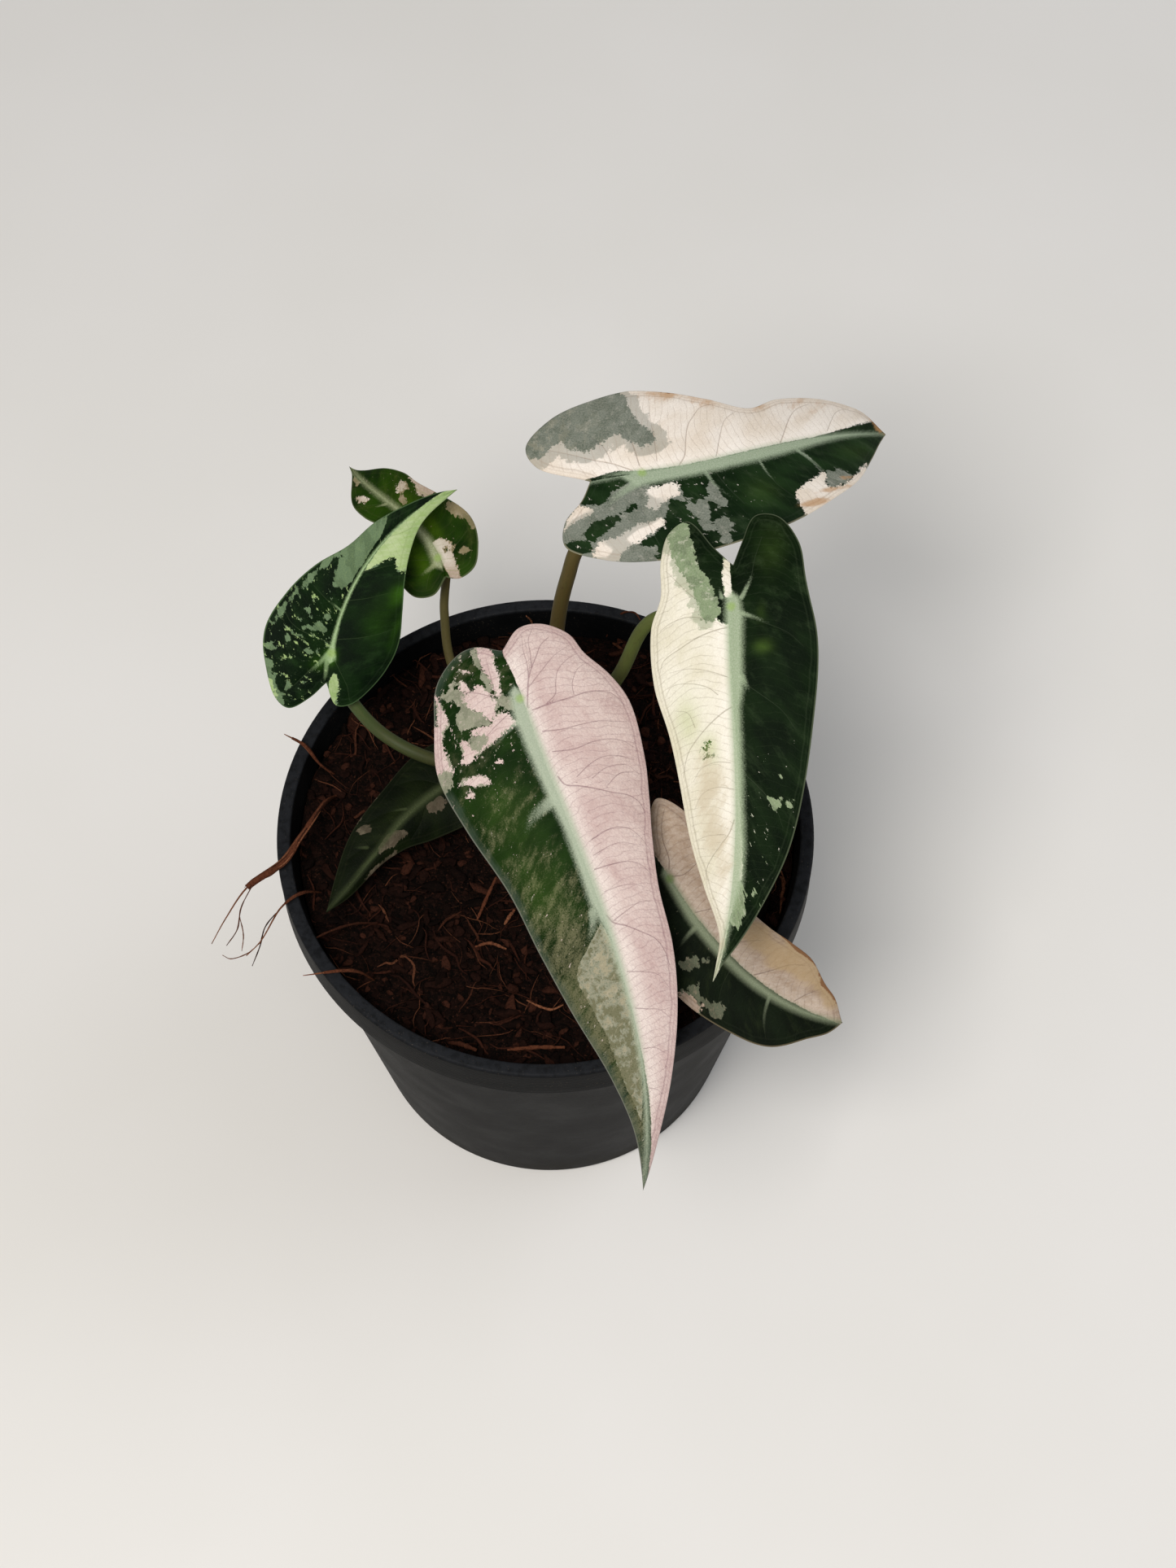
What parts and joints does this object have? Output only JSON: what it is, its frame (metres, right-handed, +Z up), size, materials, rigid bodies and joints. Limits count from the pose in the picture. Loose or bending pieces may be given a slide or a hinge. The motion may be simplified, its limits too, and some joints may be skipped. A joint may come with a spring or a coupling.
{
  "type": "potted bambino alocasia",
  "caption": "Potted dwarf alocasia with arrow-shaped leaves marbled in pink, cream and dark green, on slim stalks in a round black nursery pot of coir.",
  "frame": {"origin": "middle of the pot's flat underside", "axes": "+Z up, -Y towards the side that the longest pink and green leaf hangs over, +X to the right of that view"},
  "size_m": [0.1493, 0.1609, 0.1743],
  "materials": {
    "pot": "satin black moulded plastic",
    "soil": "rough damp coir chips",
    "strand": "dry coir fibre",
    "crown": "dull brown-green stem",
    "stalk_green": "smooth waxy",
    "stalk_tan": "smooth waxy",
    "leaf_pink": "satin leaf, pink and green halves",
    "leaf_cream": "satin leaf, cream and dark green halves",
    "leaf_green": "satin leaf, dark green with pale flecks",
    "leaf_tan": "satin leaf, pink-tan and dark green halves"
  },
  "bodies": {
    "root": {"pot": "pot", "soil": "soil", "crown": "crown", "strand_long": "strand", "strand_back": "strand", "strand_short": "strand", "strand_front": "strand", "stalk_a": "stalk_green", "stalk_b": "stalk_green", "stalk_c": "stalk_tan", "stalk_d": "stalk_green", "stalk_e": "stalk_tan", "stalk_f": "stalk_green", "stalk_g": "stalk_green", "blade_a": "leaf_pink", "blade_b": "leaf_cream", "blade_c": "leaf_cream", "blade_d": "leaf_green", "blade_e": "leaf_green", "blade_f": "leaf_green", "blade_g": "leaf_tan"}
  },
  "joints": []
}
